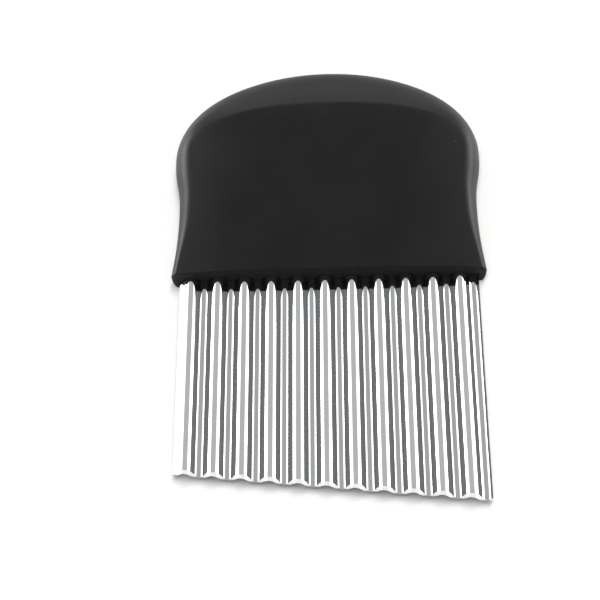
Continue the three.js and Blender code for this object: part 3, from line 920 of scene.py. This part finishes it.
def moulded_plastic(name, base, dust, smoothest, roughest, gloss):
    """Plastic with a moulded grain, clouds of handling and rare specks of dust."""
    material, tree = new_material(name)
    place = add_node(tree, "ShaderNodeTexCoord", {})
    grain = add_node(tree, "ShaderNodeTexNoise", {
        "Vector": place.outputs["Object"], "Scale": per_mm(GRAIN)[0], "Detail": 2.0,
    })
    marks = add_node(tree, "ShaderNodeTexNoise", {
        "Vector": place.outputs["Object"], "Scale": per_mm(HAND_MARKS)[0], "Detail": 3.0, "Roughness": 0.55,
    })
    specks = add_node(tree, "ShaderNodeTexVoronoi", {
        "Vector": place.outputs["Object"], "Scale": per_mm(DUST_SPACING)[0],
    })
    dusty = add_node(tree, "ShaderNodeMath", {
        0: specks.outputs["Distance"], 1: DUST_SIZE,
    }, operation="LESS_THAN")
    tint = add_node(tree, "ShaderNodeMix", {
        "Factor": marks.outputs["Fac"], "A": colour(base[0]), "B": colour(base[1]),
    }, data_type="RGBA")
    dusted = add_node(tree, "ShaderNodeMix", {
        "Factor": dusty.outputs["Value"], "A": tint.outputs["Result"], "B": colour(dust),
    }, data_type="RGBA")
    rough = add_node(tree, "ShaderNodeMapRange", {
        "Value": marks.outputs["Fac"], "From Min": 0.3, "From Max": 0.7,
        "To Min": smoothest, "To Max": roughest,
    })
    bump = add_node(tree, "ShaderNodeBump", {
        "Height": grain.outputs["Fac"], "Strength": 0.25, "Distance": 0.03 * MM,
    })
    shader = add_node(tree, "ShaderNodeBsdfPrincipled", {
        "Base Color": dusted.outputs["Result"], "Roughness": rough.outputs["Result"],
        "Specular IOR Level": gloss, "Normal": bump.outputs["Normal"],
    })
    add_node(tree, "ShaderNodeOutputMaterial", {"Surface": shader.outputs["BSDF"]})
    return material


black_plastic = moulded_plastic("black_moulded_polypropylene", ("#0A0A0B", "#0F0F10"), "#3C3C3B",
                                0.34, 0.44, 0.105)
plug_plastic = moulded_plastic("black_moulded_plug_plastic", ("#101011", "#151516"), "#323231",
                               0.4, 0.5, 0.14)
matt_plastic = moulded_plastic("matt_black_moulded_polypropylene", ("#0E0E0F", "#131314"), "#3C3C3B",
                               0.6, 0.7, 0.2)
print("plastics:", black_plastic.name, plug_plastic.name, matt_plastic.name)

# %% [markdown]
# ## Dressing the pieces
# Only the ridges' part of the cut is bright from the wheel, so only those faces take the ground steel,
# and the valleys keep their polish down to the edge. The faces of the mouth take the matt plastic. The
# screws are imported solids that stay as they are, and get their zinc here.

# %% Dress the pieces
def dress(piece, material):
    """Gives a piece one material."""
    piece.data.materials.clear()
    piece.data.materials.append(material)


GROUND_FROM = 0.25 * MM
EDGE_FACING = -0.2
MOUTH_FACING = -0.7
dress(blade, polished_steel)
blade.data.materials.append(ground_steel)
ground_faces = []
for face in blade.data.polygons:
    corners = [blade.data.vertices[i].co for i in face.vertices]
    low_enough = max(corner.y for corner in corners) < EDGE_LEFT + 2 * BEVEL_LENGTH
    on_ridge = max(corner.z for corner in corners) > VALLEY_TOP + GROUND_FROM
    if face.normal.y < EDGE_FACING and low_enough and on_ridge:
        face.material_index = 1
        ground_faces.append(face.index)
for shell in (front_shell, rear_shell):
    dress(shell, black_plastic)
    shell.data.materials.append(matt_plastic)
    for face in shell.data.polygons:
        if face.normal.y < MOUTH_FACING and face.center.y < SHOULDER_LINE:
            face.material_index = 1
for piece in plugs.values():
    dress(piece, plug_plastic)
for side in SCREW_PLACES:
    dress(frame["nodes"]["tang_screw_" + side], zinc_steel)
print(len(ground_faces), "faces of the bevel are ground steel")

# %% [markdown]
# ## Joining the imported model
# Nothing on this tool moves, so every piece rides on its one body. Each new piece stands for the packed
# solid that it was modelled from, which is hidden. The screws keep their packed shape.

# %% Stand in for the imported solids
def stand_in(piece, node):
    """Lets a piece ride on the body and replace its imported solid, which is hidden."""
    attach(piece, "root")
    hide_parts(node)


stand_in(blade, "blade")
stand_in(front_shell, "handle_front_shell")
stand_in(rear_shell, "handle_rear_shell")
for side, piece in plugs.items():
    stand_in(piece, "screw_plug_" + side)
print("pieces on the body:", 3 + len(plugs))

# %% [markdown]
# ## Floor
# The tool lies on white paper, which keeps its soft shadow. Far away the paper turns into the same
# plain white as the background, so no horizon shows. Beside the tool it also glows, for mirror rays
# only, as if a white card lay there: that fills the low sides of the handle's rim with light, and
# leaves the shadow alone.

# %% Floor
FLOOR_SIZE = 4.0
PAPER_GRAIN = 3
FLOOR_DROP = 0.02 * MM
FLOOR_GLOW = 2.0
GLOW_START = 52 * MM
GLOW_FULL = 60 * MM
FAR_START = 200 * MM
FAR_FULL = 500 * MM


def seen_ray(tree):
    """1 for rays that show the background itself: camera, glossy and transmission rays."""
    path = add_node(tree, "ShaderNodeLightPath", {})
    both = add_node(tree, "ShaderNodeMath", {
        0: path.outputs["Is Camera Ray"], 1: path.outputs["Is Glossy Ray"],
    }, operation="MAXIMUM")
    seen = add_node(tree, "ShaderNodeMath", {
        0: both.outputs["Value"], 1: path.outputs["Is Transmission Ray"],
    }, operation="MAXIMUM")
    return seen.outputs["Value"]


clear_selection()
bpy.ops.mesh.primitive_plane_add(size=FLOOR_SIZE, location=(0, 0, -FLOOR_DROP))
floor = named("paper_floor")
bpy.ops.object.transform_apply(location=True)
paper, tree = new_material("white_paper_floor")
place = add_node(tree, "ShaderNodeTexCoord", {})
grain = add_node(tree, "ShaderNodeTexNoise", {
    "Vector": place.outputs["Object"], "Scale": per_mm(PAPER_GRAIN)[0],
})
sheet_white = add_node(tree, "ShaderNodeMix", {
    "Factor": grain.outputs["Fac"], "A": colour("#F1F1F0"), "B": colour("#F5F5F4"),
}, data_type="RGBA")
matt = add_node(tree, "ShaderNodeBsdfDiffuse", {"Color": sheet_white.outputs["Result"]})
ray = add_node(tree, "ShaderNodeLightPath", {})
parts = add_node(tree, "ShaderNodeSeparateXYZ", {"Vector": place.outputs["Object"]})
aside = add_node(tree, "ShaderNodeMath", {0: parts.outputs["X"]}, operation="ABSOLUTE")
beside = add_node(tree, "ShaderNodeMapRange", {
    "Value": aside.outputs["Value"], "From Min": GLOW_START, "From Max": GLOW_FULL, "To Max": FLOOR_GLOW,
})
glow_level = add_node(tree, "ShaderNodeMath", {
    0: ray.outputs["Is Glossy Ray"], 1: beside.outputs["Result"],
}, operation="MULTIPLY")
glow = add_node(tree, "ShaderNodeEmission", {
    "Color": colour("#FFFFFF"), "Strength": glow_level.outputs["Value"],
})
near = add_node(tree, "ShaderNodeAddShader", {0: matt.outputs["BSDF"], 1: glow.outputs["Emission"]})
reach = add_node(tree, "ShaderNodeVectorMath", {0: place.outputs["Object"]}, operation="LENGTH")
away = add_node(tree, "ShaderNodeMapRange", {
    "Value": reach.outputs["Value"], "From Min": FAR_START, "From Max": FAR_FULL,
})
far_share = add_node(tree, "ShaderNodeMath", {
    0: ray.outputs["Is Camera Ray"], 1: away.outputs["Result"],
}, operation="MULTIPLY")
horizon = add_node(tree, "ShaderNodeEmission", {"Color": colour("#FFFFFF"), "Strength": 1.0})
spread = add_node(tree, "ShaderNodeMixShader", {
    "Fac": far_share.outputs["Value"], 1: near.outputs["Shader"], 2: horizon.outputs["Emission"],
})
add_node(tree, "ShaderNodeOutputMaterial", {"Surface": spread.outputs["Shader"]})
dress(floor, paper)
print("floor of", FLOOR_SIZE, "m")

# %% [markdown]
# ## Lamps
# Steel is lit by what it can see. Bright lamps low at both sides show in the rims of the handle, and
# weaker lamps above them turn the shoulders of every ridge white. Two narrow strips put a faint sheen
# on the sides of the face, and a large lamp behind the palm end lights its crown. All of these show
# only in reflections. The floor has its own light: a lamp overhead, which makes a short dark shadow,
# and the even light of a white room, which gives the shadow its long faint tail.

# %% World and lamps
WORLD_LEVEL = 0.45
world = bpy.data.worlds.new("white_studio")
bpy.context.scene.world = world
world.use_nodes = True
tree = world.node_tree
tree.nodes.clear()
strength = add_node(tree, "ShaderNodeMapRange", {
    "Value": seen_ray(tree), "To Min": WORLD_LEVEL, "To Max": 1.0,
})
back = add_node(tree, "ShaderNodeBackground", {
    "Color": colour("#FFFFFF"), "Strength": strength.outputs["Result"],
})
add_node(tree, "ShaderNodeOutputWorld", {"Surface": back.outputs["Background"]})


def soft_lamp(name, place, target, width, height, power):
    """A large soft lamp that faces a target."""
    data = bpy.data.lights.new(name, "AREA")
    data.shape = "RECTANGLE"
    data.size = width
    data.size_y = height
    data.energy = power
    lamp = bpy.data.objects.new(name, data)
    bpy.context.scene.collection.objects.link(lamp)
    lamp.location = place
    lamp.rotation_euler = (Vector(target) - Vector(place)).to_track_quat("-Z", "Y").to_euler()
    return lamp


SIDES = (("left", -1, 1.29, 23, 8.2), ("right", 1, 1.19, 17, 7.0))  # name, sign, top, low and high power
LOW_TOP = 0.6
LOW_LINE = 0.55
LOW_WIDTH = 0.7
HIGH_LINE = 0.75
HIGH_WIDTH = 1.3
STRIP_PLACE = (1.25, 0.47, 2.0)
STRIP_SIZE = (0.9, 0.12)
STRIP_POWER = 9
BACK_PLACE = (0, 1.5, 1.1)
BACK_SIZE = (1.8, 1.6)
BACK_POWER = 21
TOP_PLACE = (0.045, 0.08, 1.4)
TOP_SIZE = (0.3, 1.15)
TOP_POWER = 16.5


def side_lamp(name, sign, line, width, low, high, power):
    """An upright lamp a metre to one side, between two heights, that faces straight across."""
    middle = (low + high) / 2
    return soft_lamp(name, (sign, line, middle), (0, line, middle), width, high - low, power)


side_lamps = []
for side, sign, top, low_power, high_power in SIDES:
    low_lamp = side_lamp(side + "_low_lamp", sign, LOW_LINE, LOW_WIDTH, 0, LOW_TOP, low_power)
    high_lamp = side_lamp(side + "_high_lamp", sign, HIGH_LINE, HIGH_WIDTH, LOW_TOP, top, high_power)
    x, y, z = STRIP_PLACE
    strip = soft_lamp(side + "_strip", (sign * x, y, z), (sign * x, y, 0), *STRIP_SIZE, STRIP_POWER)
    side_lamps += [low_lamp, high_lamp, strip]
back_lamp = soft_lamp("back_lamp", BACK_PLACE, (0, 0, BACK_PLACE[2]), *BACK_SIZE, BACK_POWER)
for lamp in side_lamps + [back_lamp]:
    lamp.visible_diffuse = False
top_lamp = soft_lamp("top_lamp", TOP_PLACE, (0, 0, 0), *TOP_SIZE, TOP_POWER)
top_lamp.visible_glossy = False
print(len(bpy.data.lights), "soft lamps")

# %% [markdown]
# ## Camera
# The photograph looks down on the front of the tool from beyond its cutting edge, about 26 degrees off
# the vertical, so the blade seems shorter than it is and the round palm end stands up. A long lens
# keeps the sides of the blade nearly parallel. The camera was held a little askew, which shows in the
# slope of the mouth.

# %% Camera
LENS = 83.53
SENSOR = 36
CAMERA_PLACE = (7.85, -186.97, 370.12)
CAMERA_TURN = (26.01, 2.626, -0.157)
camera_data = bpy.data.cameras.new("product_camera")
camera_data.lens = LENS
camera_data.sensor_width = SENSOR
camera = bpy.data.objects.new("product_camera", camera_data)
bpy.context.scene.collection.objects.link(camera)
camera.location = [value * MM for value in CAMERA_PLACE]
camera.rotation_euler = [math.radians(angle) for angle in CAMERA_TURN]
bpy.context.scene.camera = camera
bpy.context.scene.view_settings.view_transform = "Standard"
print("camera at", [round(value / MM, 1) for value in camera.location], "mm")
